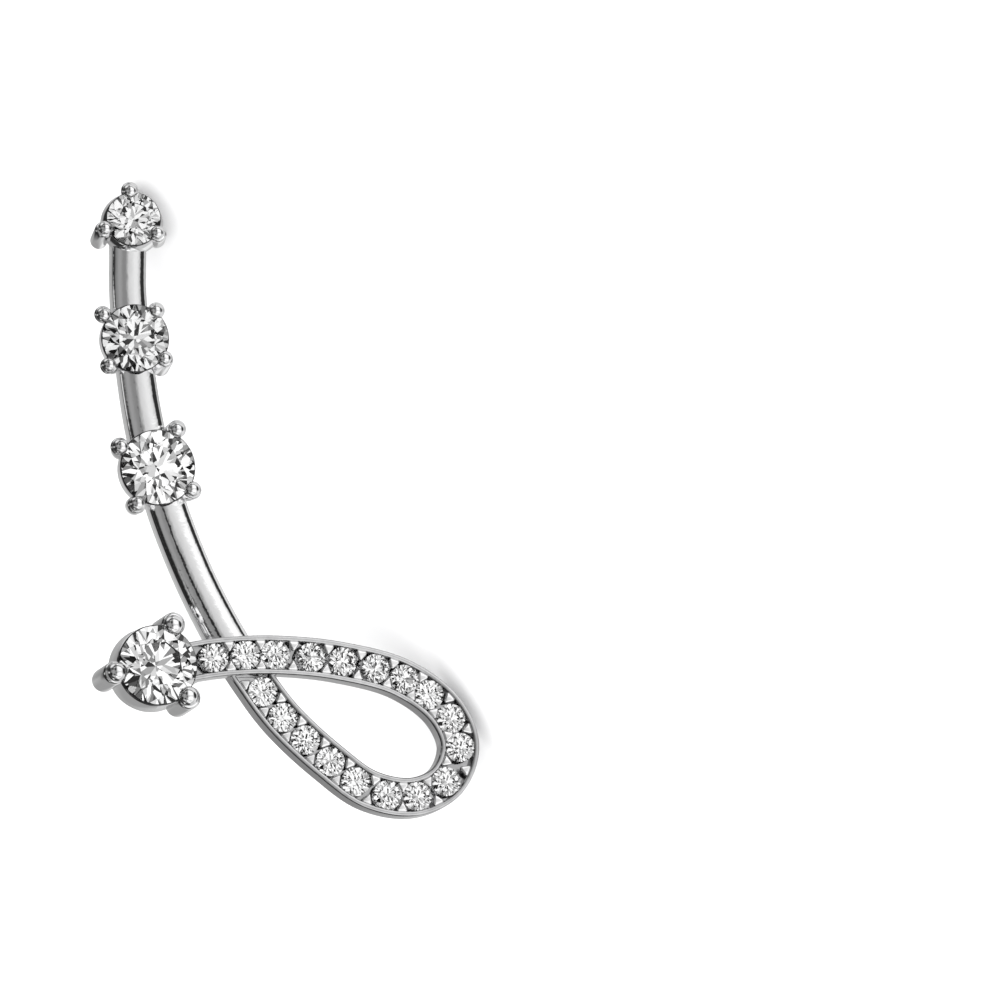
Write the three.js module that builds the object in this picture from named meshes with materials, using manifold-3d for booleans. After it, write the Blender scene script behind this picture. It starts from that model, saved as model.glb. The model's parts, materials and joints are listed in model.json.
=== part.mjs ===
// Left earring of a pair: a stud that climbs the ear, in rhodium-plated silver set with clear
// round stones. A half-round bar carries three claw-set stones. A paved ribbon starts at a large
// claw-set stone, runs out to a bend and comes back under itself to become the bar.
//
// The earring is built in its own frame: U to the right across its front, V up the bar, W out
// of the ear. That frame's origin is where the post's axis meets the flat back. The finished
// group is then laid down as the earring lies by itself, on the tip of its post and two points
// of its rim, in X, Y, Z with +Z up and the origin at the middle of its footprint.
// All lengths are in millimetres and all angles in degrees.
import * as THREE from 'three';
import { ConvexGeometry } from 'three/addons/geometries/ConvexGeometry.js';
import { ConvexHull } from 'three/addons/math/ConvexHull.js';
import { mergeVertices } from 'three/addons/utils/BufferGeometryUtils.js';
import Module from 'manifold-3d';

const wasm = await Module();
wasm.setup();

// ---- Paved ribbon -------------------------------------------------------------------------
const RIBBON_WIDTH = 1.56;
const RIBBON_DEPTH = 1.15; // from its back to the top of its two rails
const RAIL_WIDTH = 0.22;
const RAIL_CHAMFER = 0.05;
const CHANNEL_DEPTH = 0.25; // from the rail tops down to the floor the stones stand in
const CROSSING_LIFT = 0.6; // how far the upper arm is raised to pass over the lower one
const LIFT_END = 10.4; // length of ribbon from the large stone over which that lift fades
const LIFT_START = 4.6;
// Middle of the ribbon, from inside the large stone's cup round the bend to the crossing: U, V.
const RIBBON_LINE = [
  [-2.6, -0.82], [-0.9, -0.51], [0.2, -0.4], [1.6, -0.36], [4.25, -0.56], [6.9, -1.2], [8.6, -2.45],
  [9.2, -3.9], [8.65, -5.3], [7.35, -5.95], [5.55, -5.68], [3.9, -4.54], [2.02, -2.8],
  [0.8, -1.17], [0.05, 0],
];
const RIBBON_STEPS = 84;
const BEND_AT = 0.5; // share of the ribbon's length at which its two arms are joined
const CHANNEL_FROM = 1.15; // length from the ribbon's start to where its channel opens

// ---- Plain half-round bar ------------------------------------------------------------------
const BAR_WALL = 0.92; // height of its upright sides
const BAR_DOME = 0.33; // how far the top is domed above them
const BAR_DOME_STEPS = 8;
// Middle of the bar from the crossing up to the top stone, and half its width: U, V, half width.
const BAR_LINE = [
  [0.05, 0, 0.74], [-0.42, 0.8, 0.74], [-1.43, 2.8, 0.73], [-2.39, 5.21, 0.73],
  [-3.05, 7.4, 0.72], [-3.47, 9.22, 0.69], [-3.85, 12, 0.65], [-4.02, 14.3, 0.6],
  [-4, 15.75, 0.6], [-4, 16.3, 0.8], [-4, 17.2, 0.8],
];
const BAR_STEPS = 60;

// ---- Claw-set stones -------------------------------------------------------------------------
// at: middle of the girdle in U, V, W. lean: how far the head's axis moves in U and V per
// millimetre of W. claws: for each claw, the direction and distance from that axis of its tip
// and then of its foot. foot: W of the claws' rounded feet. cup: radius of the cup under the
// stone, cup_base: its radius at its own foot.
const HEADS = [
  { name: 'large_stone', stone: 3.25, at: [-3.31, -0.93, 2.7], lean: [0.05, 0.03],
    claws: [[68, 1.79, 68, 1.79], [191, 1.77, 191, 1.77], [314, 1.81, 314, 1.81]],
    claw_r: 0.48, bead_r: 0.33, foot: 0.08, cup: 1.7, cup_foot: 0.3, cup_base: 1.45 },
  { name: 'third_stone', stone: 3.05, at: [-3.06, 7.13, 1.65], lean: [0, 0],
    claws: [[63, 1.75, 63, 1.7], [152, 1.77, 150, 1.57], [240, 1.76, 241, 1.65], [327, 1.68, 327, 1.6]],
    claw_r: 0.37, bead_r: 0.32, foot: 0.3, cup: 1.42, cup_foot: 0.3, cup_base: 0.9 },
  { name: 'second_stone', stone: 2.75, at: [-3.92, 12.32, 1.6], lean: [0, 0],
    claws: [[53, 1.43, 50, 1.35], [145, 1.64, 137, 1.51], [225, 1.6, 231, 1.3], [326, 1.45, 318, 1.58]],
    claw_r: 0.34, bead_r: 0.3, foot: 0.3, cup: 1.25, cup_foot: 0.3, cup_base: 0.8 },
  { name: 'top_stone', stone: 2.2, at: [-3.97, 17.1, 1.75], lean: [-0.08, 0.09],
    claws: [[97, 1.18, 92, 1.2], [199, 1.27, 205, 1.44], [327, 1.15, 331, 1.16]],
    claw_r: 0.35, bead_r: 0.26, foot: 0.2, cup: 1.15, cup_foot: 0.2, cup_base: 0.75 },
];
const CLAW_SIDES = 16;
const CUP_SIDES = 40;
const CUP_RIM_DROP = 0.12; // how far the cup's rim stops under the girdle
const CLAW_SHOULDER = 0.06; // how far a claw's body rises above the girdle before its bead
const STONE_GAP = 0.04; // clearance round each stone, and round the paved strip

// ---- Round brilliant cut, as shares of the stone's diameter or as facet angles --------------
const TABLE = 0.56;
const STAR_REACH = 0.76; // outer tips of the star facets
const CROWN_ANGLE = 34.5;
const PAVILION_ANGLE = 40.8;
const GIRDLE = 0.035;
const LOWER_REACH = 0.24; // inner tips of the lower half facets

// ---- Post ------------------------------------------------------------------------------------
const POST_LENGTH = 10;
const POST_RADIUS = 0.42;
const POST_TIP_CHAMFER = 0.08;
const POST_ROOT = 0.5; // how far it is let into the back
const POST_SIDES = 32;

// ---- Smallest step kept where pieces are joined or cut --------------------------------------------
const FINEST = 0.004;

// ---- Weights used to find how the earring lies, in grams per cubic centimetre -----------------
const SILVER_DENSITY = 10.3;
const STONE_DENSITY = 5.8;

const silver = () => new THREE.MeshStandardMaterial({ color: 0xd9d9db, roughness: 0.12, metalness: 1 });
const crystal = () => new THREE.MeshStandardMaterial({ color: 0xf3f5f7, roughness: 0.02, metalness: 0 });

const rad = THREE.MathUtils.degToRad;
const round = (angle, radius) => new THREE.Vector2(radius * Math.cos(rad(angle)), radius * Math.sin(rad(angle)));

// ---- Solids --------------------------------------------------------------------------------------
function solid(geometry) {
  const bare = geometry.clone();
  bare.deleteAttribute('normal');
  bare.deleteAttribute('uv');
  const merged = mergeVertices(bare, 1e-5);
  const corners = merged.index.array;
  const kept = [];
  for (let i = 0; i < corners.length; i += 3) {
    const [a, b, c] = corners.slice(i, i + 3);
    if (a !== b && b !== c && c !== a) kept.push(a, b, c);
  }
  const mesh = new wasm.Mesh({
    numProp: 3,
    vertProperties: new Float32Array(merged.attributes.position.array),
    triVerts: new Uint32Array(kept),
  });
  return new wasm.Manifold(mesh);
}

function geometryOf(manifold) {
  const mesh = manifold.getMesh();
  const geometry = new THREE.BufferGeometry();
  geometry.setAttribute('position', new THREE.BufferAttribute(new Float32Array(mesh.vertProperties), 3));
  geometry.setIndex(new THREE.BufferAttribute(new Uint32Array(mesh.triVerts), 1));
  geometry.computeVertexNormals();
  return geometry;
}

// A solid through a row of closed rings, each an equal number of points on a convex outline that
// turns anticlockwise seen from the end of the row.
function loft(rings) {
  const count = rings[0].length;
  const positions = rings.flat().flatMap((point) => point.toArray());
  const index = [];
  for (let r = 0; r + 1 < rings.length; r += 1) {
    for (let i = 0; i < count; i += 1) {
      const a = r * count + i;
      const b = r * count + ((i + 1) % count);
      index.push(a, b, b + count, a, b + count, a + count);
    }
  }
  const last = (rings.length - 1) * count;
  for (let i = 1; i + 1 < count; i += 1) {
    index.push(0, i + 1, i);
    index.push(last, last + i, last + i + 1);
  }
  const geometry = new THREE.BufferGeometry();
  geometry.setAttribute('position', new THREE.Float32BufferAttribute(positions, 3));
  geometry.setIndex(index);
  return geometry;
}

// A turned solid whose profile, radius against height, stands on the W axis.
function turned(profile, sides) {
  const points = profile.map(([radius, height]) => new THREE.Vector2(radius, height));
  return new THREE.LatheGeometry(points, sides).rotateX(Math.PI / 2);
}

// ---- Sweeps along the ribbon and the bar -----------------------------------------------------------
const lift = (length) => CROSSING_LIFT * (1 - THREE.MathUtils.smoothstep(length, LIFT_START, LIFT_END));

// Places along a curve in U and V, each with its distance from the start and the direction
// square to the curve, to the left of the way it runs.
function stations(curve, steps) {
  const total = curve.getLength();
  return Array.from({ length: steps + 1 }, (_, i) => {
    const share = i / steps;
    const point = curve.getPointAt(share);
    const ahead = curve.getTangentAt(share);
    const left = new THREE.Vector3(-ahead.y, ahead.x, 0).normalize();
    return { share, length: share * total, point, left };
  });
}

const ribbonCurve = new THREE.CatmullRomCurve3(
  RIBBON_LINE.map(([u, v]) => new THREE.Vector3(u, v, 0)), false, 'centripetal');
const ribbonStations = stations(ribbonCurve, RIBBON_STEPS);

function ribbonSweep(profile, from, to) {
  const used = ribbonStations.filter(({ share }) => share >= from - 1e-9 && share <= to + 1e-9);
  return loft(used.map(({ point, left, length }) => profile.map(([side, height]) => (
    new THREE.Vector3(point.x, point.y, lift(length) + height).addScaledVector(left, side)
  ))));
}

const halfRibbon = RIBBON_WIDTH / 2;
const RIBBON_PROFILE = [
  [-halfRibbon, 0], [halfRibbon, 0], [halfRibbon, RIBBON_DEPTH - RAIL_CHAMFER],
  [halfRibbon - RAIL_CHAMFER, RIBBON_DEPTH], [RAIL_CHAMFER - halfRibbon, RIBBON_DEPTH],
  [-halfRibbon, RIBBON_DEPTH - RAIL_CHAMFER],
];
const box = (half, low, high) => [[-half, low], [half, low], [half, high], [-half, high]];
const halfChannel = halfRibbon - RAIL_WIDTH;
const CHANNEL_PROFILE = box(halfChannel, RIBBON_DEPTH - CHANNEL_DEPTH, RIBBON_DEPTH + 1);
const STRIP_PROFILE = box(halfChannel - STONE_GAP, RIBBON_DEPTH - CHANNEL_DEPTH + STONE_GAP, RIBBON_DEPTH);

const ribbonLength = ribbonCurve.getLength();
const stepShare = 1 / RIBBON_STEPS;
const channelStart = Math.round(CHANNEL_FROM / ribbonLength / stepShare) * stepShare;

function barSweep() {
  const line = BAR_LINE.map(([u, v, half]) => new THREE.Vector3(u, v, half));
  const curve = new THREE.CatmullRomCurve3(line, false, 'centripetal');
  return loft(stations(curve, BAR_STEPS).map(({ point, left }) => {
    const half = point.z;
    const ring = [[-half, 0], [half, 0]];
    for (let i = 0; i <= BAR_DOME_STEPS; i += 1) {
      const turn = Math.PI * (i / BAR_DOME_STEPS);
      ring.push([half * Math.cos(turn), BAR_WALL + BAR_DOME * Math.sin(turn)]);
    }
    return ring.map(([side, height]) => (
      new THREE.Vector3(point.x, point.y, height).addScaledVector(left, side)
    ));
  }));
}

// ---- Round brilliant, its girdle's middle at the origin and its table facing +W ------------------------
function brilliant(diameter) {
  const radius = diameter / 2;
  const rim = (GIRDLE * diameter) / 2;
  const crown = Math.tan(rad(CROWN_ANGLE));
  const pavilion = Math.tan(rad(PAVILION_ANGLE));
  const half = Math.cos(rad(22.5));
  const points = [];
  const add = (angle, reach, height) => {
    const { x, y } = round(angle, reach);
    points.push(new THREE.Vector3(x, y, height));
  };
  for (let k = 0; k < 8; k += 1) {
    const main = 45 * k;
    const between = main + 22.5;
    add(main, TABLE * radius, rim + (1 - TABLE) * radius * crown);
    add(between, STAR_REACH * radius, rim + radius * (1 - STAR_REACH * half) * crown);
    add(between, LOWER_REACH * radius, -rim - radius * (1 - LOWER_REACH * half) * pavilion);
  }
  for (let k = 0; k < 16; k += 1) {
    add(22.5 * k, radius, rim);
    add(22.5 * k, radius, -rim);
  }
  points.push(new THREE.Vector3(0, 0, -rim - radius * pavilion));
  return new ConvexGeometry(points);
}

// ---- Heads: a cup and claws round each stone, on an axis that leans with the head ----------------------
function leaning({ at, lean }) {
  const axis = new THREE.Vector3(lean[0], lean[1], 1).normalize();
  const turn = new THREE.Quaternion().setFromUnitVectors(new THREE.Vector3(0, 0, 1), axis);
  return new THREE.Matrix4().compose(new THREE.Vector3(...at), turn, new THREE.Vector3(1, 1, 1));
}

// One claw of a head, from its rounded foot up to the bead that laps over the stone.
function claw({ claw_r: body, bead_r: bead, foot, at }, [tipAngle, tipReach, footAngle, footReach]) {
  const tip = new THREE.Vector3(...round(tipAngle, tipReach), CLAW_SHOULDER);
  const toe = new THREE.Vector3(...round(footAngle, footReach), foot + body - at[2]);
  const length = tip.distanceTo(toe);
  const profile = [];
  for (let i = 0; i <= 4; i += 1) {
    const turn = rad(22.5 * i);
    profile.push([body * Math.sin(turn), -length - body * Math.cos(turn)]);
  }
  profile.push([body, -0.08], [body - 0.06, 0], [bead, 0]);
  for (let i = 1; i <= 3; i += 1) {
    profile.push([i === 3 ? 0 : bead * Math.cos(rad(30 * i)), bead * Math.sin(rad(30 * i))]);
  }
  const along = tip.clone().sub(toe).normalize();
  const turn = new THREE.Quaternion().setFromUnitVectors(new THREE.Vector3(0, 0, 1), along);
  return turned(profile, CLAW_SIDES).applyQuaternion(turn).translate(tip.x, tip.y, tip.z);
}

function cup({ cup: top, cup_foot: foot, cup_base: base, at }) {
  const low = foot - at[2];
  const rim = -CUP_RIM_DROP;
  const belly = low + 0.35 * (rim - low);
  return turned([[0, low], [base, low], [top, belly], [top, rim], [0, rim]], CUP_SIDES);
}

function headMetal(head) {
  const place = leaning(head);
  const parts = [cup(head).applyMatrix4(place)];
  for (const row of head.claws) parts.push(claw(head, row).applyMatrix4(place));
  return parts.map(solid);
}

function stoneSolid(head, gap) {
  return solid(brilliant(head.stone + 2 * gap).applyMatrix4(leaning(head)));
}

// ---- Metal ---------------------------------------------------------------------------------------------
// Joins the sweep of the upper arm to that of the lower one, which stops short of the upper arm
// where it passes under it.
function bothArms(profile, from, clearance) {
  const upper = solid(ribbonSweep(profile, from, BEND_AT));
  const lower = solid(ribbonSweep(profile, BEND_AT, 1));
  const over = box(halfRibbon + clearance, -RIBBON_DEPTH, 2 * RIBBON_DEPTH);
  return upper.add(lower.subtract(solid(ribbonSweep(over, 0, BEND_AT / 2))));
}

const arms = solid(ribbonSweep(RIBBON_PROFILE, 0, BEND_AT))
  .add(solid(ribbonSweep(RIBBON_PROFILE, BEND_AT, 1)))
  .subtract(bothArms(CHANNEL_PROFILE, channelStart, 0));

const post = turned([
  [0, -POST_LENGTH], [POST_RADIUS - POST_TIP_CHAMFER, -POST_LENGTH],
  [POST_RADIUS, POST_TIP_CHAMFER - POST_LENGTH], [POST_RADIUS, POST_ROOT], [0, POST_ROOT],
], POST_SIDES);

let metal = arms.add(solid(barSweep())).add(solid(post));
for (const head of HEADS) {
  for (const piece of headMetal(head)) metal = metal.add(piece);
}
for (const head of HEADS) metal = metal.subtract(stoneSolid(head, STONE_GAP));
metal = metal.simplify(FINEST);

// ---- Paved strip: the small stones and their grains as one solid, lying in the channel ---------------------
const strip = bothArms(STRIP_PROFILE, channelStart + stepShare, STONE_GAP).simplify(FINEST);

// ---- How it lies ---------------------------------------------------------------------------------------------
function centreOf(pieces) {
  const sum = new THREE.Vector3();
  let weight = 0;
  for (const { manifold, density } of pieces) {
    const mesh = manifold.getMesh();
    const at = (i) => new THREE.Vector3().fromArray(mesh.vertProperties, 3 * mesh.triVerts[i]);
    for (let i = 0; i < mesh.triVerts.length; i += 3) {
      const [a, b, c] = [at(i), at(i + 1), at(i + 2)];
      const share = density * a.dot(b.clone().cross(c));
      sum.addScaledVector(a.add(b).add(c), share / 4);
      weight += share;
    }
  }
  return sum.divideScalar(weight);
}

// The direction that points down when the earring lies on its post: that of a face of its hull
// which touches the post's tip and has the centre of weight straight above it. Of the ways that
// it can lie like this, the one whose front is turned up the most.
function downwards(manifold, centre) {
  const mesh = manifold.getMesh();
  const points = [];
  for (let i = 0; i < mesh.vertProperties.length; i += 3) {
    points.push(new THREE.Vector3().fromArray(mesh.vertProperties, i));
  }
  const resting = new ConvexHull().setFromPoints(points).faces.filter((face) => {
    const corners = [];
    let edge = face.edge;
    do {
      corners.push(edge.head().point);
      edge = edge.next;
    } while (edge !== face.edge);
    const drop = face.constant - face.normal.dot(centre);
    const under = centre.clone().addScaledVector(face.normal, drop);
    const inside = corners.every((corner, i) => {
      const side = corners[(i + 1) % corners.length].clone().sub(corner);
      return side.cross(under.clone().sub(corner)).dot(face.normal) > 0;
    });
    return inside && corners.some(({ z }) => z < 2 * POST_TIP_CHAMFER - POST_LENGTH);
  });
  resting.sort((a, b) => a.normal.z - b.normal.z);
  return resting[0].normal.clone();
}

const stones = HEADS.map((head) => ({ name: head.name, manifold: stoneSolid(head, 0) }));
const centre = centreOf([
  { manifold: metal, density: SILVER_DENSITY },
  { manifold: strip, density: STONE_DENSITY },
  ...stones.map(({ manifold }) => ({ manifold, density: STONE_DENSITY })),
]);
const down = downwards(metal, centre);

// Laid down: that direction to -Z, and the front turned to face -Y as it slopes.
const lay = new THREE.Quaternion().setFromUnitVectors(down, new THREE.Vector3(0, 0, -1));
const front = new THREE.Vector3(0, 0, 1).applyQuaternion(lay);
const swing = new THREE.Quaternion().setFromAxisAngle(
  new THREE.Vector3(0, 0, 1), -Math.PI / 2 - Math.atan2(front.y, front.x));

function mesh(name, manifold, material) {
  const made = new THREE.Mesh(geometryOf(manifold), material);
  made.name = name;
  return made;
}

const earring = new THREE.Group();
earring.add(mesh('stud_body', metal, silver()));
for (const { name, manifold } of stones) earring.add(mesh(name, manifold, crystal()));
earring.add(mesh('paved_strip', strip, crystal()));
earring.quaternion.copy(swing.multiply(lay));
earring.updateMatrixWorld(true);

const bounds = new THREE.Box3().setFromObject(earring, true);
earring.position.set(
  -(bounds.min.x + bounds.max.x) / 2, -(bounds.min.y + bounds.max.y) / 2, -bounds.min.z);

const whole = new THREE.Group();
whole.add(earring);
export default whole;
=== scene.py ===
import json
import math

import bpy
from mathutils import Matrix, Vector


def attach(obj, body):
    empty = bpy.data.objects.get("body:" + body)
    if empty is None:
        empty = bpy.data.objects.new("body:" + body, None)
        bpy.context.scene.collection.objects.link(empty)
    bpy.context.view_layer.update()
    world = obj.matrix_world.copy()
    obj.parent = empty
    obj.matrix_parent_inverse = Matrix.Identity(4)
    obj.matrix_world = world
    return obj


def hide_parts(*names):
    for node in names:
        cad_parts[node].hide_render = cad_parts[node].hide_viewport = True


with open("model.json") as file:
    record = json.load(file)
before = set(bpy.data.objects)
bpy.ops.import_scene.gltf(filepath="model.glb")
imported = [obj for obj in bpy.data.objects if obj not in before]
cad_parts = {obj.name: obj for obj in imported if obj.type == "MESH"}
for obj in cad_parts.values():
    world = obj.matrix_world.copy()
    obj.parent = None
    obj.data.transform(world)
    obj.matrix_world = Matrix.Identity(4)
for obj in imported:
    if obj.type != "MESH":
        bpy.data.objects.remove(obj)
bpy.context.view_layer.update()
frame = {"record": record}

# The left stud earring of a pair. Every piece is modelled upright in millimetres in the earring's
# own frame, U to the right across its front, V up the bar and W out of the ear, and is then laid
# down in metres as the earring lies by itself.

# ---- Ribbon --------------------------------------------------------------------------------------
RIBBON_WIDTH = 1.56
RIBBON_DEPTH = 1.15
RAIL_WIDTH = 0.22
CHANNEL_FROM = 0.9           # length of plain ribbon before the channel opens
CHANNEL_DEPTH = 0.62
CROSSING_LIFT = 0.6          # the upper arm passes this much higher over the lower one
LIFT_START, LIFT_END = 4.6, 10.4
RIBBON_LINE = (
    (-2.6, -0.82), (-0.9, -0.51), (0.2, -0.4), (1.6, -0.36), (4.25, -0.56), (6.9, -1.2),
    (8.6, -2.45), (9.2, -3.9), (8.65, -5.3), (7.35, -5.95), (5.55, -5.68), (3.9, -4.54),
    (2.02, -2.8), (0.8, -1.17), (0.05, 0.0),
)
RIBBON_CUTS = 230
EDGE = 0.08                  # how far the rails' edges are eased

# ---- Small stones and the grains between them ----------------------------------------------------
SMALL_STONE = 1.17
STONES_AT = (                # lengths along the ribbon to each one, as set by hand
    1.77, 3.08, 4.27, 5.65, 6.9, 8.29, 9.63, 10.88, 12.17,
    13.4, 14.93, 16.27, 17.48, 18.88, 20.18, 21.5, 22.78, 24.08)
STONE_PROUD = 0.1            # table above the rails
GRAIN = 0.3
GRAIN_ROUNDING = 0.45        # of its three corners, as a share of its size, as in the next line
GRAIN_STEPS = ((0.05, 0.14), (0.08, 0.08), (0.1, 0.04))   # inset and rise of each step of its top
GRAIN_HEIGHT = 0.4
LAST_GRAIN = 1.3             # from the last small stone to where the next one would be
SPIN, EIGHTH = 37, 45        # each small stone is turned this much further, within an eighth of a turn

# ---- Bar -----------------------------------------------------------------------------------------
BAR_WALL = 0.92
BAR_DOME = 0.33
BAR_LINE = (                 # U, V, half width
    (0.05, 0.0, 0.77), (-0.42, 0.8, 0.77), (-1.43, 2.8, 0.76), (-2.39, 5.21, 0.76),
    (-3.05, 7.4, 0.75), (-3.47, 9.22, 0.73), (-3.85, 12.0, 0.71), (-4.03, 14.3, 0.68),
    (-4.02, 15.75, 0.68), (-4.0, 16.7, 0.68), (-4.0, 17.05, 0.58), (-4.0, 17.28, 0.38),
    (-4.0, 17.36, 0.14),
)
BAR_CUTS = 140
BACK_EDGE = 0.07             # how far the edges round the back are eased
BAR_BACK = 0.012             # the bar's back stands this far in from the ribbon's, where they are soldered

# ---- Heads: each stone with its cup and claws ----------------------------------------------------
# at: middle of the girdle. lean: how far the axis moves in U and V for each millimetre of W.
# turn: of the stone in its seat, degrees. claws: direction and reach of the tip, then of the foot.
# claw, bead: radii. cup, cup_base: radii at its widest and at its foot, which is at height cup_foot.
HEADS = (
    dict(name="large", stone=3.25, at=(-3.31, -0.93, 2.7), lean=(0.05, 0.03), turn=30,
         claws=((68, 1.79, 68, 1.79), (191, 1.77, 191, 1.77), (314, 1.81, 314, 1.81)),
         claw=0.48, bead=0.405, foot=0.08, cup=1.7, cup_foot=0.3, cup_base=1.45),
    dict(name="third", stone=3.05, at=(-3.06, 7.13, 1.65), lean=(0, 0), turn=7,
         claws=((63, 1.75, 63, 1.7), (152, 1.77, 150, 1.57),
                (240, 1.76, 241, 1.65), (327, 1.68, 327, 1.6)),
         claw=0.37, bead=0.315, foot=0.3, cup=1.49, cup_foot=0.15, cup_base=0.9),
    dict(name="second", stone=2.75, at=(-3.92, 12.32, 1.6), lean=(0, 0), turn=22,
         claws=((53, 1.43, 50, 1.35), (145, 1.64, 137, 1.51),
                (225, 1.6, 231, 1.3), (326, 1.45, 318, 1.58)),
         claw=0.34, bead=0.29, foot=0.3, cup=1.33, cup_foot=0.25, cup_base=0.8),
    dict(name="top", stone=2.2, at=(-3.97, 17.1, 1.75), lean=(-0.08, 0.09), turn=0,
         claws=((97, 1.18, 92, 1.2), (199, 1.27, 205, 1.44), (327, 1.15, 331, 1.16)),
         claw=0.35, bead=0.285, foot=0.2, cup=1.26, cup_foot=0.2, cup_base=0.75),
)
CLAW_SHOULDER = 0.15
CUP_RIM_DROP = 0.12
CUP_WALL = 0.14
BEAD_HEIGHT = 0.72           # share of its radius
BEAD_NECK = 0.025            # height of the groove that sets a bead off from its claw
BEAD_SUNK = 0.1              # how far a bead's foot goes down into its claw
SEAT_GAP = 0.015             # between a stone's underside and its cup
CUP_FLOOR = 0.1              # thickness
CUP_BELLY = 0.35             # share of its height at which a cup reaches its full width

# ---- Round brilliant, as shares of the stone's radius and facet angles ---------------------------
TABLE = 0.56
STAR_REACH = 0.76
CROWN_ANGLE = math.radians(34.5)
PAVILION_ANGLE = math.radians(40.8)
GIRDLE = 0.035
SKIRT = 0.034                # width of the steep ground band above the girdle, as seen from the front; it takes the girdle's painted shade
SKIRT_ANGLE = math.radians(62)
LOWER_REACH = 0.24

# ---- Post ----------------------------------------------------------------------------------------
POST_LENGTH = 10.0
POST_RADIUS = 0.42
POST_PROFILE = (             # radius beyond POST_RADIUS, height; it flares into the solder at its root
    (-0.14, -POST_LENGTH), (-0.06, -POST_LENGTH + 0.02), (0, -POST_LENGTH + 0.1),
    (0, -0.35), (0.02, -0.2), (0.08, -0.08), (0.2, 0), (0.2, 0.3),
)

# ---- The earring's own frame in the world, from the two named faces ------------------------------
EAR_FACE_AT = (-1.43, 2.8)   # where the ear face is named, in U and V


def own_frame():
    mounts = {m["name"]: m for m in frame["record"]["mounts"]}
    out = -Vector(mounts["post_tip"]["axis"]).normalized()
    origin = Vector(mounts["post_tip"]["pos_m"]) + out * POST_LENGTH * 0.001
    along = Vector(mounts["ear_face"]["pos_m"]) - origin
    along = (along - out * along.dot(out)).normalized()
    across = out.cross(along)
    turn = math.atan2(EAR_FACE_AT[1], EAR_FACE_AT[0])
    right = along * math.cos(turn) - across * math.sin(turn)
    up = along * math.sin(turn) + across * math.cos(turn)
    axes = Matrix((right, up, out)).transposed().to_4x4()
    return Matrix.Translation(origin) @ axes @ Matrix.Scale(0.001, 4)


LAID = own_frame()


def direction(u, v, w):
    """A direction of the earring's own frame, in the world."""
    return (LAID.to_3x3() @ Vector((u, v, w))).normalized()


# ---- Finishes ------------------------------------------------------------------------------------
class Value:
    """What comes out of a node of a finish, as a number that takes part in sums."""

    def __init__(self, finish, socket):
        self.finish, self.socket = finish, socket

    def __add__(self, other):
        return self.finish.maths("ADD", self, other)

    def __sub__(self, other):
        return self.finish.maths("SUBTRACT", self, other)

    def __rsub__(self, other):
        return self.finish.maths("SUBTRACT", other, self)

    def __mul__(self, other):
        return self.finish.maths("MULTIPLY", self, other)

    def __truediv__(self, other):
        return self.finish.maths("DIVIDE", self, other)

    def __pow__(self, other):
        return self.finish.maths("POWER", self, other)

    __radd__, __rmul__ = __add__, __mul__


class Finish:
    """A material, or the studio's surroundings, being drawn up node by node."""

    def __init__(self, tree):
        self.tree = tree
        tree.nodes.clear()

    def node(self, kind, settings=(), values=(), out=0):
        made = self.tree.nodes.new(kind)
        for name, value in dict(settings).items():
            if name == "stops":
                elements = made.color_ramp.elements
                while len(elements) < len(value):
                    elements.new(0.5)
                for element, (place, tone) in zip(elements, value):
                    element.position = place
                    element.color = (tone, tone, tone, 1)
            else:
                setattr(made, name, value)
        for name, value in dict(values).items():
            if isinstance(value, Value):
                self.tree.links.new(value.socket, made.inputs[name])
            else:
                made.inputs[name].default_value = value
        return Value(self, made.outputs[out]) if made.outputs else None

    def noise(self, where, scale, detail=2.0, roughness=0.5):
        return self.node("ShaderNodeTexNoise", {}, {
            "Vector": where, "Scale": scale, "Detail": detail, "Roughness": roughness})

    def tone(self, share, dark, light):
        """A colour between two others."""
        return self.node("ShaderNodeMix", {"data_type": "RGBA"}, {0: share, 6: (*dark, 1), 7: (*light, 1)}, 2)

    def maths(self, operation, *values):
        return self.node("ShaderNodeMath", {"operation": operation}, dict(enumerate(values)))

    def place(self):
        return self.node("ShaderNodeTexCoord", {}, {}, "Object")

    def skin(self, values):
        """Ends the drawing with a surface."""
        surface = self.node("ShaderNodeBsdfPrincipled", {}, values)
        self.node("ShaderNodeOutputMaterial", {}, {"Surface": surface})


def finish(name):
    material = bpy.data.materials.new(name)
    material.use_nodes = True
    return material, Finish(material.node_tree)


# Unevenness of the metal, waves to the metre: the hand's waviness, wear, and hairline marks.
BROAD, FINE, HAIR = 420, 2600, 9000
CLOUD, FROST = 900, 14000    # the same of a stone's inside and of its ground girdle


def silver(name, dark, light, polish, worn, wave):
    """Rhodium-plated silver. polish, worn: lowest and highest roughness. wave: height of its waviness."""
    material, made = finish(name)
    where = made.place()
    broad = made.noise(where, BROAD, 2)
    fine = made.noise(where, FINE, 3, 0.6)
    hair = made.noise(where, HAIR, 2, 0.7)
    bump = made.node("ShaderNodeBump", {}, {
        "Height": broad * 0.75 + fine * 0.4, "Strength": 1.0, "Distance": wave}, "Normal")
    made.skin({
        "Base Color": made.tone(fine, dark, light), "Metallic": 1.0,
        "Roughness": polish + (worn - polish) * (hair * 0.6 + broad * 0.4), "Normal": bump})
    return material


def clear_stone(name, index, clear):
    """Colourless stone with the faintest cloudiness. clear: share of the light that it lets through."""
    material, made = finish(name)
    cloud = made.noise(made.place(), CLOUD, 2)
    cloudy = (clear * 0.97, clear * 0.972, clear * 0.975)
    made.skin({
        "Base Color": made.tone(cloud, cloudy, (clear, clear, clear)), "Roughness": 0.0, "IOR": index,
        "Transmission Weight": 1.0, "Specular Tint": (0.35, 0.35, 0.35, 1)})
    return material


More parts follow.
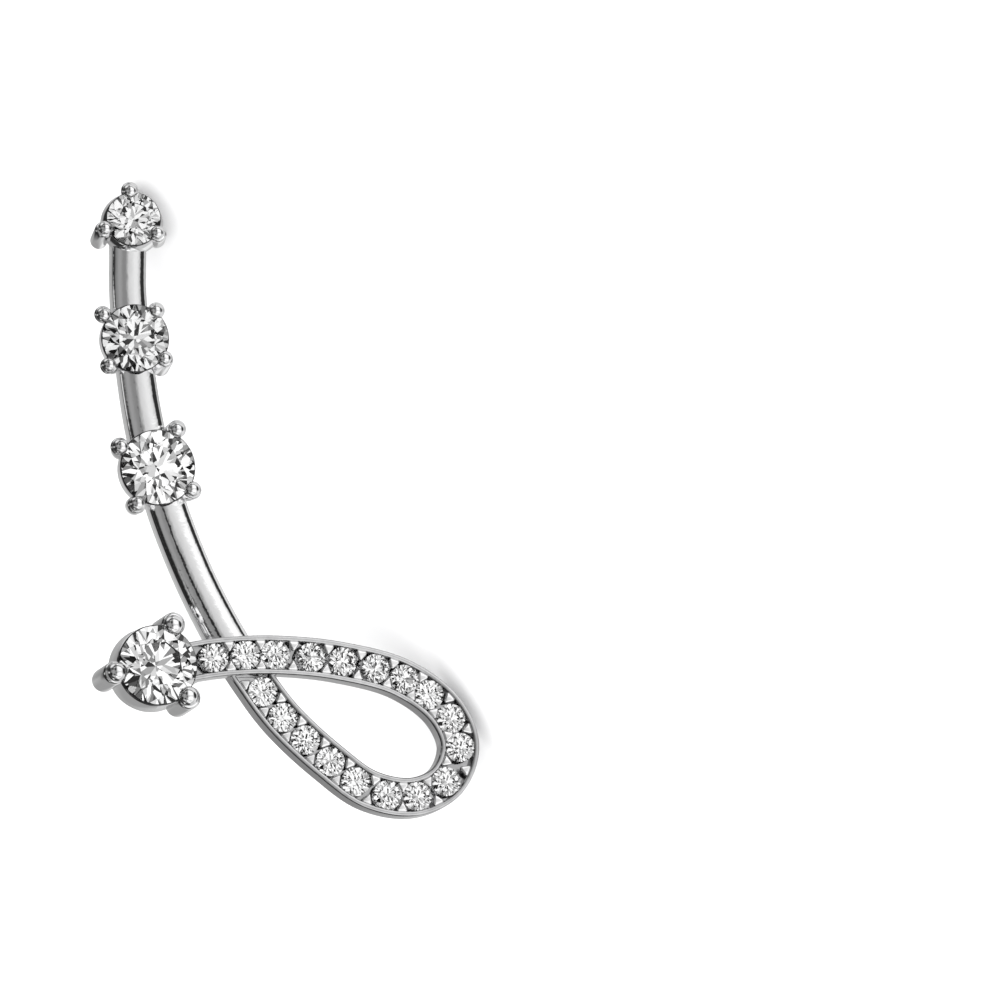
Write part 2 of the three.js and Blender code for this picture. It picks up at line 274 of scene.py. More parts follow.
def painted_shade_girdle(name):
    """The girdle, ground and not polished, with a fine grain; its near-black colour is painted shade, a dark
    rim round the stone.
    """
    material, made = finish(name)
    frost = made.noise(made.place(), FROST, 2)
    made.skin({
        "Base Color": made.tone(frost, (0.03, 0.03, 0.032), (0.12, 0.12, 0.125)), "Metallic": 1.0,
        "Roughness": 0.3 + 0.2 * frost})
    return material


# All the metal is one plated silver. The ribbon's finishes are a little rougher than the bar's, for its
# duller hand-worked surface, and drawn darker: painted shade, deepest on its channel's inner walls, then on
# its sides.
SILVER = silver("rhodium_silver", (0.90, 0.90, 0.905), (0.96, 0.96, 0.963), 0.03, 0.09, 0.000006)
BAR_SILVER = silver("drawn_silver", (0.90, 0.90, 0.905), (0.96, 0.96, 0.963), 0.03, 0.09, 0.00002)
GRAIN_SILVER = silver(
    "bright_grain_silver", (0.92, 0.92, 0.925), (0.98, 0.98, 0.98), 0.03, 0.08, 0.000003)
# Painted shade: the ribbon's tops, back and channel floor, drawn darker than the bar's silver.
RIBBON_SILVER_PAINTED_SHADE = silver("worked_silver", (0.42, 0.42, 0.425), (0.74, 0.74, 0.745), 0.05, 0.15, 0.000009)
# Painted shade: the ribbon's outer sides, darker still.
WALL_SILVER_PAINTED_SHADE = silver(
    "ribbon_side_silver", (0.38, 0.38, 0.385), (0.66, 0.66, 0.665), 0.05, 0.15, 0.000009)
SHADED_SILVER = silver(
    "shaded_recess_silver", (0.2, 0.2, 0.205), (0.48, 0.48, 0.485), 0.1, 0.25, 0.000006)
ZIRCONIA_INDEX = 2.16
STONE = clear_stone("cubic_zirconia", ZIRCONIA_INDEX, 1.0)
# Painted shade: the two upper stones let only 0.82 of the light through, so that they show darker.
PAINTED_SHADE_STONE = clear_stone("cubic_zirconia_upper", ZIRCONIA_INDEX, 0.82)
# Painted shade: a near-black girdle, for a dark rim round each stone.
GIRDLE_PAINTED_SHADE = painted_shade_girdle("frosted_girdle")


# ---- Bench work: small helpers for modelling by hand ---------------------------------------------
def bare():
    if bpy.context.object and bpy.context.object.mode != "OBJECT":
        bpy.ops.object.mode_set(mode="OBJECT")
    bpy.ops.object.select_all(action="DESELECT")


def begin(name):
    """Names the primitive just added and opens it for editing."""
    piece = bpy.context.object
    piece.name = piece.data.name = name
    bpy.ops.object.transform_apply(location=True, rotation=True, scale=True)
    bpy.ops.object.mode_set(mode="EDIT")
    return piece


def pick(piece, kind, wanted):
    """Selects the vertices, edges or faces that answer to wanted(centre, element)."""
    bpy.ops.mesh.select_mode(type=kind)
    bpy.ops.mesh.select_all(action="DESELECT")
    bpy.ops.object.mode_set(mode="OBJECT")
    mesh = piece.data
    if kind == "VERT":
        for vertex in mesh.vertices:
            vertex.select = wanted(vertex.co, vertex)
    elif kind == "EDGE":
        for edge in mesh.edges:
            a, b = (mesh.vertices[i].co for i in edge.vertices)
            edge.select = wanted((a + b) / 2, b - a)
    else:
        for face in mesh.polygons:
            face.select = wanted(face.center, face.normal)
    bpy.ops.object.mode_set(mode="EDIT")


def turned(name, profile, sides=32):
    """A turned piece: a disc raised ring by ring through (radius, height) pairs."""
    bare()
    radius, height = profile[0]
    bpy.ops.mesh.primitive_circle_add(
        vertices=sides, radius=radius, fill_type="NGON", location=(0, 0, height))
    piece = begin(name)
    bpy.ops.mesh.select_mode(type="FACE")
    bpy.ops.mesh.select_all(action="SELECT")
    for wider, higher in profile[1:]:
        bpy.ops.mesh.extrude_region_move(
            TRANSFORM_OT_translate={"value": (0, 0, higher - height)})
        bpy.ops.transform.resize(
            value=(wider / radius, wider / radius, 1), center_override=(0, 0, higher))
        radius, height = wider, higher
    bpy.ops.mesh.select_all(action="SELECT")
    bpy.ops.mesh.normals_make_consistent(inside=False)
    bare()
    return piece


def placed(piece, matrix):
    bare()
    piece.matrix_world = matrix
    piece.select_set(True)
    bpy.context.view_layer.objects.active = piece
    bpy.ops.object.transform_apply(location=True, rotation=True, scale=True)
    return piece


def joined(name, pieces):
    bare()
    for piece in pieces:
        piece.select_set(True)
    bpy.context.view_layer.objects.active = pieces[0]
    if len(pieces) > 1:
        bpy.ops.object.join()
    pieces[0].name = pieces[0].data.name = name
    return pieces[0]


def copied(piece):
    twin = piece.copy()
    twin.data = piece.data.copy()
    bpy.context.scene.collection.objects.link(twin)
    return twin


def smooth(piece, angle=30, weighted=False):
    bare()
    piece.select_set(True)
    bpy.context.view_layer.objects.active = piece
    bpy.ops.object.shade_smooth_by_angle(angle=math.radians(angle))
    if weighted:
        even = piece.modifiers.new("even", "WEIGHTED_NORMAL")
        even.keep_sharp = True
        bpy.ops.object.modifier_apply(modifier=even.name)
    return piece


# ---- Lines along which the ribbon and the bar run ------------------------------------------------
def through(points, steps):
    """Evenly spaced points on the smooth line through the given ones."""
    knots = [Vector(p) for p in points]
    knots = [2 * knots[0] - knots[1], *knots, 2 * knots[-1] - knots[-2]]
    fine = []
    for a, b, c, d in zip(knots, knots[1:], knots[2:], knots[3:]):
        ta, tb, tc = (b - a).length ** 0.5, (c - b).length ** 0.5, (d - c).length ** 0.5
        out_b = ((b - a) / ta - (c - a) / (ta + tb) + (c - b) / tb) * tb
        out_c = ((c - b) / tb - (d - b) / (tb + tc) + (d - c) / tc) * tb
        for i in range(40):
            t = i / 40
            fine.append(b * (2 * t ** 3 - 3 * t ** 2 + 1) + c * (3 * t ** 2 - 2 * t ** 3)
                        + out_b * (t ** 3 - 2 * t ** 2 + t) + out_c * (t ** 3 - t ** 2))
    fine.append(knots[-2])
    lengths = [0.0]
    for a, b in zip(fine, fine[1:]):
        lengths.append(lengths[-1] + (b - a).length)
    even, at = [], 0
    for i in range(steps + 1):
        wanted = lengths[-1] * i / steps
        while at + 2 < len(fine) and lengths[at + 1] < wanted:
            at += 1
        share = (wanted - lengths[at]) / (lengths[at + 1] - lengths[at])
        even.append(fine[at].lerp(fine[at + 1], share))
    return even, lengths[-1]


def lift(length):
    share = min(max((length - LIFT_START) / (LIFT_END - LIFT_START), 0), 1)
    return CROSSING_LIFT * (1 - share * share * (3 - 2 * share))


def bent(piece, line):
    """Bends a straight piece, lying along +X, along a line."""
    data = bpy.data.curves.new("guide", "CURVE")
    data.dimensions, data.twist_mode = "3D", "Z_UP"
    knots = data.splines.new("POLY").points
    knots.add(len(line) - 1)
    for knot, point in zip(knots, line):
        knot.co = (*point, 1)
    guide = bpy.data.objects.new("guide", data)
    bpy.context.scene.collection.objects.link(guide)
    bare()
    piece.select_set(True)
    bpy.context.view_layer.objects.active = piece
    bend = piece.modifiers.new("bend", "CURVE")
    bend.object, bend.deform_axis = guide, "POS_X"
    bpy.ops.object.modifier_apply(modifier=bend.name)
    bpy.data.objects.remove(guide)
    return piece


flat_line, ribbon_length = through([(u, v, 0) for u, v in RIBBON_LINE], 400)
ribbon_line = [
    p + Vector((0, 0, lift(ribbon_length * i / 400))) for i, p in enumerate(flat_line)]


def at_ribbon(length):
    """The ribbon's own frame at a length along it: X ahead, Y to the left, Z up from its back."""
    where = min(max(length / ribbon_length * 400, 0.5), 399.5)
    i = int(where)
    here = ribbon_line[i].lerp(ribbon_line[i + 1], where - i)
    ahead = (ribbon_line[i + 1] - ribbon_line[i]).normalized()
    left = Vector((-ahead.y, ahead.x, 0)).normalized()
    frame_here = Matrix((ahead, left, ahead.cross(left))).transposed().to_4x4()
    return Matrix.Translation(here) @ frame_here


def hollowed(piece, head):
    """Cuts a head's hollow out of the metal that it stands in, as far as the middle of its cup's wall."""
    low, rim = head["cup_foot"] - head["at"][2] + 0.06, -CUP_RIM_DROP
    wide, base = head["cup"] - CUP_WALL / 2, head["cup_base"] - CUP_WALL / 2
    belly = low + CUP_BELLY * (rim - low)
    cutter = placed(turned("cutter", [(base, low), (wide, belly), (wide, 1.5)], 64), leaning(head))
    bare()
    piece.select_set(True)
    bpy.context.view_layer.objects.active = piece
    cut = piece.modifiers.new("hollow", "BOOLEAN")
    cut.object, cut.operation, cut.solver = cutter, "DIFFERENCE", "EXACT"
    bpy.ops.object.modifier_apply(modifier=cut.name)
    bpy.data.objects.remove(cutter)
    return piece


# ---- Ribbon --------------------------------------------------------------------------------------
def make_ribbon():
    bare()
    run = sum((b - a).length for a, b in zip(ribbon_line, ribbon_line[1:]))
    bpy.ops.mesh.primitive_cube_add(
        size=1, location=(run / 2, 0, RIBBON_DEPTH / 2), scale=(run, RIBBON_WIDTH, RIBBON_DEPTH))
    piece = begin("ribbon")
    bpy.ops.mesh.select_all(action="SELECT")
    bpy.ops.mesh.bisect(plane_co=(CHANNEL_FROM - RAIL_WIDTH, 0, 0), plane_no=(1, 0, 0))
    pick(piece, "FACE", lambda at, normal: normal.z > 0.9 and at.x > 2)
    bpy.ops.mesh.inset(thickness=RAIL_WIDTH, depth=0)
    bpy.ops.mesh.extrude_region_move(TRANSFORM_OT_translate={"value": (0, 0, -CHANNEL_DEPTH)})
    pick(piece, "EDGE", lambda at, along: at.z > RIBBON_DEPTH - 0.01 and abs(along.x) > 2)
    bpy.ops.mesh.bevel(offset=EDGE, segments=3, profile=0.5, affect="EDGES")
    pick(piece, "EDGE", lambda at, along: at.z < 0.01 and abs(at.y) > RIBBON_WIDTH / 2 - 0.01)
    bpy.ops.mesh.bevel(offset=BACK_EDGE, segments=3, profile=0.5, affect="EDGES")
    for i in range(1, RIBBON_CUTS):
        bpy.ops.mesh.select_all(action="SELECT")
        bpy.ops.mesh.bisect(plane_co=(run * i / RIBBON_CUTS, 0, 0), plane_no=(1, 0, 0))
    bare()
    inner = RIBBON_WIDTH / 2 - RAIL_WIDTH + 0.001
    for metal in (RIBBON_SILVER_PAINTED_SHADE, SHADED_SILVER, WALL_SILVER_PAINTED_SHADE):
        piece.data.materials.append(metal)
    plain, shaded, wall = range(3)
    # Painted shade: the channel's inner walls take the darkest silver, the outer sides the next, and the rest
    # the ribbon's lighter painted-shade silver.
    for face in piece.data.polygons:
        at = face.center
        if at.x > CHANNEL_FROM - 0.001 and abs(at.y) < inner and 0.1 < at.z < RIBBON_DEPTH - 0.09:
            face.material_index = plain if face.normal.z > 0.9 else shaded
        elif abs(face.normal.y) > 0.9:
            face.material_index = wall
    return smooth(hollowed(bent(piece, ribbon_line), HEADS[0]), 24, weighted=True)


# ---- Bar -----------------------------------------------------------------------------------------
def make_bar():
    line, run = through(BAR_LINE, BAR_CUTS)
    half = line[0].z
    height = BAR_WALL + half
    bare()
    bpy.ops.mesh.primitive_plane_add(size=1, rotation=(0, math.pi / 2, 0))
    piece = begin("bar")
    bpy.ops.mesh.select_all(action="SELECT")
    bpy.ops.transform.resize(value=(1, 2 * half, height), center_override=(0, 0, -0.5))
    bpy.ops.transform.translate(value=(0, 0, 0.5))
    pick(piece, "VERT", lambda at, vertex: at.z > 0.1)
    bpy.ops.mesh.bevel(offset=half, segments=20, profile=0.5, affect="VERTICES")
    pick(piece, "VERT", lambda at, vertex: at.z < 0.01)
    bpy.ops.mesh.bevel(offset=BACK_EDGE, segments=3, profile=0.5, affect="VERTICES")
    bpy.ops.mesh.select_all(action="SELECT")
    bpy.ops.mesh.remove_doubles(threshold=0.001)
    pick(piece, "VERT", lambda at, vertex: at.z > BAR_WALL + 0.001)
    bpy.ops.transform.resize(value=(1, 1, BAR_DOME / half), center_override=(0, 0, BAR_WALL))
    pick(piece, "FACE", lambda at, normal: True)
    step = run / BAR_CUTS
    for i, (a, b) in enumerate(zip(line, line[1:]), 1):
        bpy.ops.mesh.extrude_region_move(TRANSFORM_OT_translate={"value": (step, 0, 0)})
        bpy.ops.transform.resize(value=(1, b.z / a.z, 1), center_override=(step * i, 0, 0))
    bpy.ops.mesh.select_all(action="SELECT")
    bpy.ops.mesh.normals_make_consistent(inside=False)
    bare()
    bent(piece, [(p.x, p.y, BAR_BACK) for p in line])
    for head in HEADS[1:]:
        hollowed(piece, head)
    return smooth(piece, 40)


# ---- Brilliants ----------------------------------------------------------------------------------
def make_brilliant(name, sides=96, skirt=SKIRT):
    """A 57-facet round stone of radius 1, its girdle's middle at the origin, cut from a cylinder.

    skirt: width of the ground band above its girdle, which takes the girdle's painted shade as a dark rim."""
    slope, pavilion = math.tan(CROWN_ANGLE), math.tan(PAVILION_ANGLE)
    half = math.cos(math.radians(22.5))

    def corner(eighth, reach, height):
        turn = math.radians(45 * eighth)
        return Vector((reach * math.cos(turn), reach * math.sin(turn), height))

    table = GIRDLE + (1 - TABLE) * slope
    star = GIRDLE + (1 - STAR_REACH * half) * slope
    lower = -GIRDLE - (1 - LOWER_REACH * half) * pavilion
    culet = Vector((0, 0, -GIRDLE - pavilion))
    facets = [(Vector((0, 0, table)), Vector((0, 0, 1)))]

    def cut(a, b, c):
        normal = (b - a).cross(c - a)
        facets.append((a, normal if normal.dot(a) > 0 else -normal))

    for k in range(8):
        star_tip, star_before = corner(k + 0.5, STAR_REACH, star), corner(k - 0.5, STAR_REACH, star)
        lower_tip, lower_before = corner(k + 0.5, LOWER_REACH, lower), corner(k - 0.5, LOWER_REACH, lower)
        cut(corner(k, TABLE, table), corner(k + 1, TABLE, table), star_tip)
        cut(corner(k, TABLE, table), star_before, star_tip)
        cut(culet, lower_before, lower_tip)
        for side in (k, k + 1):
            cut(star_tip, corner(k + 0.5, 1, GIRDLE), corner(side, 1, GIRDLE))
            cut(lower_tip, corner(k + 0.5, 1, -GIRDLE), corner(side, 1, -GIRDLE))
    if skirt:
        low = GIRDLE + skirt * (slope - math.tan(SKIRT_ANGLE))
        for i in range(sides):
            turn = math.radians(360 * (i + 0.5) / sides)
            outward = Vector((math.cos(turn), math.sin(turn), 0))
            facets.append((outward * math.cos(math.pi / sides) + Vector((0, 0, low)),
                           outward * math.sin(SKIRT_ANGLE) + Vector((0, 0, math.cos(SKIRT_ANGLE)))))
    bare()
    bpy.ops.mesh.primitive_cylinder_add(
        vertices=sides, radius=1, depth=2 * pavilion + 1, end_fill_type="NGON")
    piece = begin(name)
    for place, normal in facets:
        bpy.ops.mesh.select_all(action="SELECT")
        bpy.ops.mesh.bisect(
            plane_co=place, plane_no=normal, use_fill=True, clear_outer=True, threshold=1e-6)
    bpy.ops.mesh.select_all(action="SELECT")
    bpy.ops.mesh.remove_doubles(threshold=0.0005)
    bpy.ops.mesh.normals_make_consistent(inside=False)
    bare()
    piece.data.materials.append(STONE)
    piece.data.materials.append(GIRDLE_PAINTED_SHADE)
    # The girdle and the band above it take the near-black painted shade.
    for face in piece.data.polygons:
        face.material_index = int(abs(face.normal.z) < 0.5)
    return piece


# ---- Heads ---------------------------------------------------------------------------------------
def leaning(head):
    axis = Vector((*head["lean"], 1)).normalized()
    turn = Vector((0, 0, 1)).rotation_difference(axis).to_matrix().to_4x4()
    return Matrix.Translation(head["at"]) @ turn


def polar(angle, reach, height):
    turn = math.radians(angle)
    return Vector((reach * math.cos(turn), reach * math.sin(turn), height))


def quarter(radius, low, steps, start=0, end=90):
    """Radius and height pairs on an arc of a ball whose middle is at height low."""
    angles = [math.radians(start + (end - start) * i / steps) for i in range(steps + 1)]
    return [(max(radius * math.cos(a), 0.004), low + radius * math.sin(a)) for a in angles]


def make_claw(head, row):
    """A round wire with a rounded foot and shoulder, and on it a bead set towards the stone."""
    tip = polar(row[0], row[1], CLAW_SHOULDER)
    toe = polar(row[2], row[3], head["foot"] + head["claw"] - head["at"][2])
    body, bead, run = head["claw"], head["bead"], (tip - toe).length
    shoulder = [(body, -0.16), (body - 0.015, -0.09), (body - 0.045, -0.035), (body - 0.1, 0.0)]
    turn = Vector((0, 0, 1)).rotation_difference(tip - toe).to_matrix().to_4x4()
    shank = placed(turned("claw", quarter(body, -run, 8, -90, 0) + shoulder, 40),
                   leaning(head) @ Matrix.Translation(tip) @ turn)
    dome = [(radius, BEAD_NECK + BEAD_HEIGHT * height) for radius, height in quarter(bead, 0.0, 14, 2, 90)]
    inward = polar(row[0] + 180, body - bead - 0.01, 0)
    neck = [(bead - 0.03, -BEAD_SUNK), (bead - 0.03, BEAD_NECK * 0.5)]
    cap = placed(turned("bead", neck + dome, 40), leaning(head) @ Matrix.Translation(tip + inward) @ turn)
    return joined("claw", [shank, cap])


def make_cup(head):
    """A tub whose rim follows the stone's underside and whose wall drops to a plain floor."""
    stone, wide, base = head["stone"] / 2, head["cup"], head["cup_base"]
    low = head["cup_foot"] - head["at"][2]

    def under(radius):
        return -GIRDLE * stone - (stone - radius) * math.tan(PAVILION_ANGLE) - SEAT_GAP

    rim = min(-CUP_RIM_DROP, under(wide - 0.03))
    belly = low + CUP_BELLY * (rim - low)
    lip = min(wide, stone + 0.015)
    seat = min(wide, stone) - CUP_WALL - 0.12
    floor = low + CUP_FLOOR
    outside = [
        (base - 0.06, low), (base, low + 0.04),
        (base + (wide - base) * 0.45, low + 0.35 * (belly - low)), (wide - 0.05, belly - 0.08),
        (wide, belly + 0.1), (lip, rim - 0.03), (lip - 0.03, rim)]
    inside = [
        (lip - 0.06, min(rim, under(lip - 0.06))), (seat, min(rim, under(seat))),
        (seat - 0.03, under(seat) - 0.15), (min(seat - 0.03, base - 0.1), floor + 0.05),
        (0.3, floor), (0.05, floor)]
    return placed(turned("cup", outside + inside, 72), leaning(head))


def make_head(head):
    metal = [make_cup(head)] + [make_claw(head, row) for row in head["claws"]]
    return smooth(joined(head["name"] + "_head", metal), 38)


# ---- Metal and stones put together ---------------------------------------------------------------
ribbon = make_ribbon()
bar = make_bar()
heads = {head["name"]: make_head(head) for head in HEADS}
post = turned("post", [(POST_RADIUS + wider, height) for wider, height in POST_PROFILE], 48)
smooth(post, 30)

model_stone = make_brilliant("model_stone")
stones = {}
for head in HEADS:
    size = head["stone"] / 2
    turn = Matrix.Rotation(math.radians(head["turn"]), 4, "Z")
    stone = placed(copied(model_stone), leaning(head) @ turn @ Matrix.Diagonal((size, size, size, 1)))
    # The two upper stones take the darker, painted-shade stone.
    if head["name"] in ("second", "top"):
        stone.data.materials[0] = PAINTED_SHADE_STONE
    stones[head["name"]] = joined(head["name"] + "_brilliant", [stone])

model_small = make_brilliant("model_small", 32, skirt=0)
size = SMALL_STONE / 2
small_table = size * (GIRDLE + (1 - TABLE) * math.tan(CROWN_ANGLE))
small = []
for i, length in enumerate(STONES_AT):
    spin = Matrix.Rotation(math.radians(SPIN * i % EIGHTH), 4, "Z")
    up = Matrix.Translation((0, 0, RIBBON_DEPTH + STONE_PROUD - small_table))
    small.append(placed(copied(model_small),
                        at_ribbon(length) @ up @ spin @ Matrix.Diagonal((size, size, size, 1))))
small_stones = joined("small_stones", small)
bpy.data.objects.remove(model_stone)
bpy.data.objects.remove(model_small)


def make_grain():
    """A three-cornered pad of metal raised against a rail, its point towards the middle of the channel."""
    bare()
    bpy.ops.mesh.primitive_circle_add(
        vertices=3, radius=1, fill_type="NGON", rotation=(0, 0, math.pi), location=(0, 0, -1.5))
    piece = begin("grain")
    bpy.ops.mesh.select_all(action="SELECT")
    bpy.ops.mesh.extrude_region_move(TRANSFORM_OT_translate={"value": (0, 0, 1.5)})
    pick(piece, "EDGE", lambda at, along: abs(along.z) > 1)
    bpy.ops.mesh.bevel(offset=GRAIN_ROUNDING, segments=5, profile=0.5, affect="EDGES")
    pick(piece, "FACE", lambda at, normal: normal.z > 0.9)
    for inset, rise in GRAIN_STEPS:
        bpy.ops.mesh.inset(thickness=inset, depth=rise)
    bpy.ops.mesh.select_all(action="SELECT")
    bpy.ops.mesh.normals_make_consistent(inside=False)
    bare()
    return smooth(piece, 60)


grain_model = make_grain()
grains = []
beside = RIBBON_WIDTH / 2 - RAIL_WIDTH - GRAIN * 0.45   # of the ribbon's middle, to a grain's
for before, after in zip(STONES_AT, STONES_AT[1:] + (STONES_AT[-1] + LAST_GRAIN,)):
    here = at_ribbon((before + after) / 2)
    for side in (1, -1):
        spot = Matrix.Translation((0, side * beside, RIBBON_DEPTH - 0.03))
        shape = Matrix.Diagonal((GRAIN, side * GRAIN, GRAIN * GRAIN_HEIGHT, 1))
        grains.append(placed(copied(grain_model), here @ spot @ shape))
grains = joined("grains", grains)
bpy.data.objects.remove(grain_model)
bare()
grains.select_set(True)
bpy.context.view_layer.objects.active = grains
bpy.ops.object.mode_set(mode="EDIT")
bpy.ops.mesh.select_all(action="SELECT")
bpy.ops.mesh.normals_make_consistent(inside=False)
bare()


# ---- The earring laid down, each piece on its body -----------------------------------------------
# The ribbon and the stones already have their finishes.
BODY = "root"
for piece, metal in ((bar, BAR_SILVER), (post, SILVER), (grains, GRAIN_SILVER),
                     *((piece, SILVER) for piece in heads.values())):
    piece.data.materials.append(metal)
for piece, slot in (
        (ribbon, "silver"), (bar, "silver"), (post, "silver"),
        *((piece, "silver") for piece in heads.values()),
        (grains, "silver"), (small_stones, "small_stones"),
        *((piece, "clear_stone") for piece in stones.values())):
    placed(piece, LAID)
    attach(piece, BODY)
for piece in (ribbon, bar, post, *heads.values()):
    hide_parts("stud_body")
for piece in (small_stones, grains):
    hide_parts("paved_strip")
for name, piece in stones.items():
    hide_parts(name + "_stone")

# ---- Floor ---------------------------------------------------------------------------------------
bare()
bpy.ops.mesh.primitive_plane_add(size=6)
floor = begin("floor")
bare()
material, made = finish("pale_matte_floor")
made.skin({
    "Base Color": made.tone(made.noise(made.place(), 60, 4), (0.86, 0.86, 0.865), (0.9, 0.9, 0.902)),
    "Roughness": 0.9, "Specular IOR Level": 0.1})
floor.data.materials.append(material)
# The floor isn't mirrored in the metal or seen through the stones.
floor.visible_glossy = floor.visible_transmission = False

# ---- Camera --------------------------------------------------------------------------------------
# It looks at the front from a little to the left and below, with the bar upright in the picture.
TILT = math.radians(12)
TOWARDS = Vector((-0.84, -0.54)).normalized()   # the way the view leans, in U and V
SQUARE = Vector((-TOWARDS.y, TOWARDS.x))
FRAME_WIDTH = 40.0                                # millimetres across the picture
CENTRE = (10.88, 6.0)                             # millimetres right of and above the origin
LENS, SENSOR = 1000.0, 36.0


def seen_along(axis):
    """The picture's own axis in the earring's frame: 0 to the right, 1 upwards."""
    lean, straight = TOWARDS[axis], SQUARE[axis]
    return Vector((lean * TOWARDS.x * math.cos(TILT) + straight * SQUARE.x,
                   lean * TOWARDS.y * math.cos(TILT) + straight * SQUARE.y, -lean * math.sin(TILT)))


right, upward = seen_along(0), seen_along(1)
view = Vector((*(TOWARDS * math.sin(TILT)), math.cos(TILT)))
away = FRAME_WIDTH / 2 / (SENSOR / 2 / LENS)
eye = LAID @ (right * CENTRE[0] + upward * CENTRE[1] + view * away)
camera_data = bpy.data.cameras.new("camera")
camera_data.lens, camera_data.sensor_width = LENS, SENSOR
camera_data.clip_start, camera_data.clip_end = 0.1, 10.0
camera = bpy.data.objects.new("camera", camera_data)
bpy.context.scene.collection.objects.link(camera)
facing = Matrix((direction(*right), direction(*upward), direction(*view))).transposed().to_4x4()
camera.matrix_world = Matrix.Translation(eye) @ facing
bpy.context.scene.camera = camera

# ---- Studio --------------------------------------------------------------------------------------
# The camera and the matte floor see a plain white surround. The metal mirrors another one, of pale
# and dark cards, and the stones let a third one through, a fine mottle of light and dark. The cards
# stand where they give this metal its bands from the front, and stay there when the camera moves.
# Places are in degrees from the front camera's line of sight, round it and above it.
PLAIN_WHITE = 1.65
ROUND = (                    # degrees round, brightness
    (-180, 0.42), (-174, 0.47), (-159, 0.34), (-147, 0.28), (-140, 0.02), (-76, 0.02),
    (-71, 0.45), (-62, 0.4), (-54, 0.2), (-38, 0.28), (-28, 0.34), (-18, 0.33), (-6, 0.25),
    (4, 0.25), (9, 0.42), (14, 0.66), (24, 0.75), (35, 0.87), (44, 0.86), (51, 0.72), (60, 0.54),
    (75, 0.5), (95, 0.55), (120, 0.5), (150, 0.42), (180, 0.42),
)
OFF_BAR = 1.45               # above and below what the bar mirrors, all is this much brighter
FRONT_CARDS = (              # brightness, then degrees round, above, half wide, half high, share of soft edge
    (1.1, 32, -10, 27, 18, 0.3), (0.74, 35, -34, 22, 14, 0.5), (0.9, 158, -33, 26, 17, 0.5),
    (0.34, -162, -28, 30, 24, 0.5), (0.02, -50, -9, 17, 13, 0.3), (0.02, -100, -22, 32, 14, 0.4),
    (0.72, -94, -1, 24, 8, 0.4), (0.05, -5, 34, 12, 17, 0.3), (0.05, -14, -17, 15, 5, 0.3),
)
TENT_MOUTH = (10, 0, 75, 66, 0.12)   # the pale part in front; past its edge it is nearly dark
TENT_EDGE = 0.06
OUTER_CARDS = (              # columns as FRONT_CARDS
    (0.85, -92, 60, 55, 29, 0.5), (0.6, 100, -58, 60, 28, 0.6), (0.03, 77, 13, 19, 28, 0.25),
    (0.04, 0, -90, 400, 24, 0.3), (1.2, -72, -62, 22, 9, 0.3), (1.2, 3, -37, 11, 9, 0.3),
    (0.02, 2, 4, 4, 6, 0.3),
)
DEGREES = 180 / math.pi

world = bpy.data.worlds.new("studio")
bpy.context.scene.world = world
world.use_nodes = True
made = Finish(world.node_tree)
where = made.node("ShaderNodeTexCoord", {}, {}, "Generated")


def share_along(axis):
    operation = {"operation": "DOT_PRODUCT"}
    return made.node("ShaderNodeVectorMath", operation, {0: where, 1: tuple(axis)}, "Value")


sideways, upwards, nearer = (share_along(direction(*axis)) for axis in (right, upward, view))
ripple = (made.noise(where, 3.0, 3) - 0.5) * 0.06
azimuth = (made.maths("ARCTAN2", sideways, nearer) + ripple) * DEGREES
height = made.maths("ARCSINE", upwards) * DEGREES
tilted = made.maths("ARCCOSINE", nearer) * DEGREES


def clamped(value):
    return made.node("ShaderNodeClamp", {}, {"Value": value}, "Result")


def patch(across, up, half_width, half_height, edge):
    """1 inside an oval of the surroundings, falling to 0 over the given share at its edge."""
    x, y = (azimuth - across) / half_width, (height - up) / half_height
    return clamped((1 - (x * x + y * y) ** 0.5) / edge)


def blend(under, over, mask):
    return under + (over - under) * mask


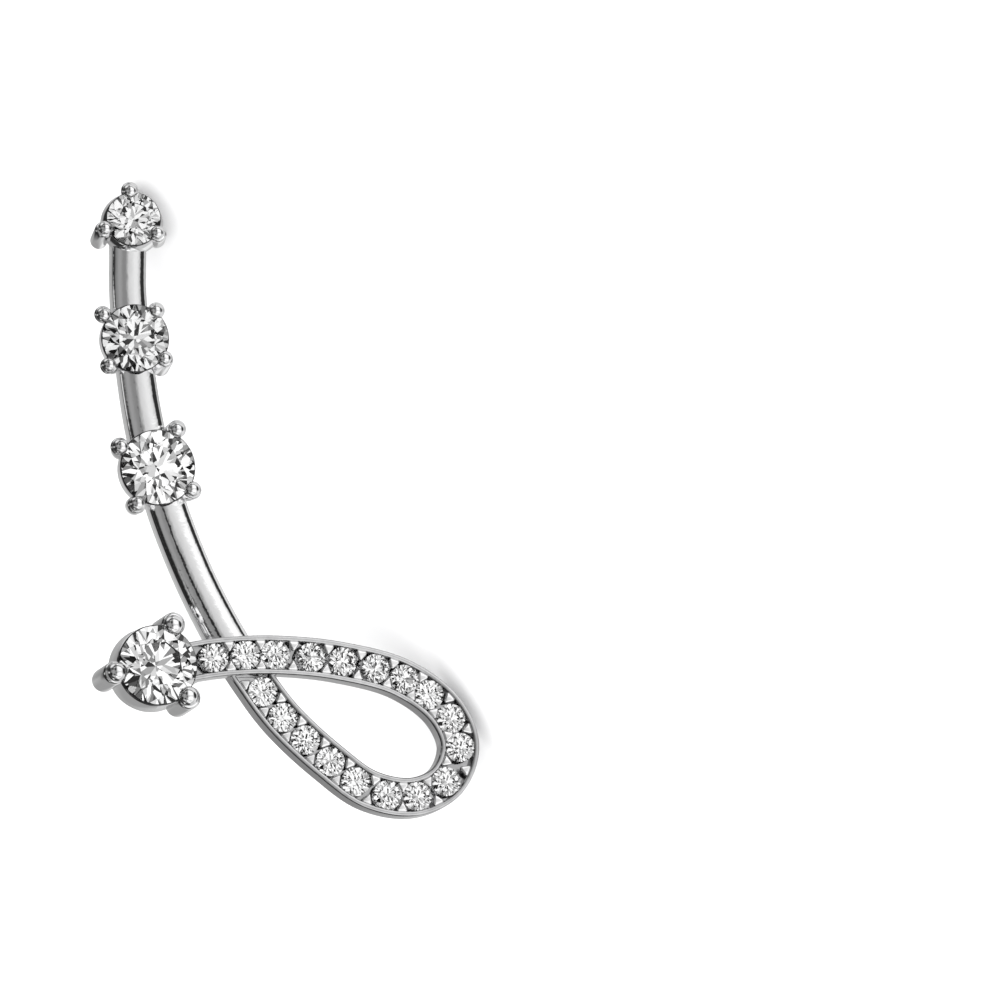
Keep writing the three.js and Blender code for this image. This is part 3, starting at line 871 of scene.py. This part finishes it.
def mirrored():
    """Brightness of what the metal mirrors."""
    stops = [(angle / 360 + 0.5, tone) for angle, tone in ROUND]
    tones = made.node("ShaderNodeValToRGB", {"stops": stops}, {"Fac": azimuth / 360 + 0.5})
    level = made.node("ShaderNodeSeparateColor", {}, {0: tones}, 0)
    front = clamped((80 - tilted) / 10)
    along_bar = patch(0, 6, 240, 15, 0.3)
    aside = front * patch(-48, 0, 47, 90, 0.2) * (1 - along_bar)
    blots = clamped((made.noise(where, 6.0, 2) - 0.47) * 8) * 1.6 + 0.06
    level = level * blend(1, blots, aside)
    level = level * blend(OFF_BAR, 1, along_bar)
    for tone, *oval in FRONT_CARDS:
        level = blend(level, tone, patch(*oval))
    level = blend(level, level * TENT_EDGE, front * (1 - patch(*TENT_MOUTH)))
    for tone, *oval in OUTER_CARDS:
        level = blend(level, tone, patch(*oval))
    return level


def sparkle():
    """Brightness of what shows through the stones, less of it bright away from the front."""
    return clamped((made.noise(where, 6.0, 1.5) - 0.37 - 0.0015 * tilted) * 5.5) * 1.25 + 0.01


glossy = made.node("ShaderNodeLightPath", {}, {}, "Is Glossy Ray")
glass = made.node("ShaderNodeLightPath", {}, {}, "Is Transmission Ray")
cards = made.node("ShaderNodeBackground", {}, {
    "Color": (1, 1, 1, 1), "Strength": blend(mirrored(), sparkle(), glass)})
plain = made.node("ShaderNodeBackground", {}, {"Color": (1, 1, 1, 1), "Strength": PLAIN_WHITE})
either = made.maths("MAXIMUM", glossy, glass)
surround = made.node("ShaderNodeMixShader", {}, {0: either, 1: plain, 2: cards})
made.node("ShaderNodeOutputWorld", {}, {"Surface": surround})

LAMP_DISTANCE = 0.6


def soft_light(name, towards, size, power):
    data = bpy.data.lights.new(name, "AREA")
    data.size, data.energy = size, power
    light = bpy.data.objects.new(name, data)
    bpy.context.scene.collection.objects.link(light)
    towards = Vector(towards).normalized()
    facing = towards.to_track_quat("Z", "Y").to_matrix().to_4x4()
    light.matrix_world = Matrix.Translation(towards * LAMP_DISTANCE) @ facing
    light.visible_glossy = light.visible_transmission = False


soft_light("soft_light", (-0.3, -0.5, 0.9), 0.6, 0.5)
bpy.context.scene.view_settings.view_transform = "Standard"
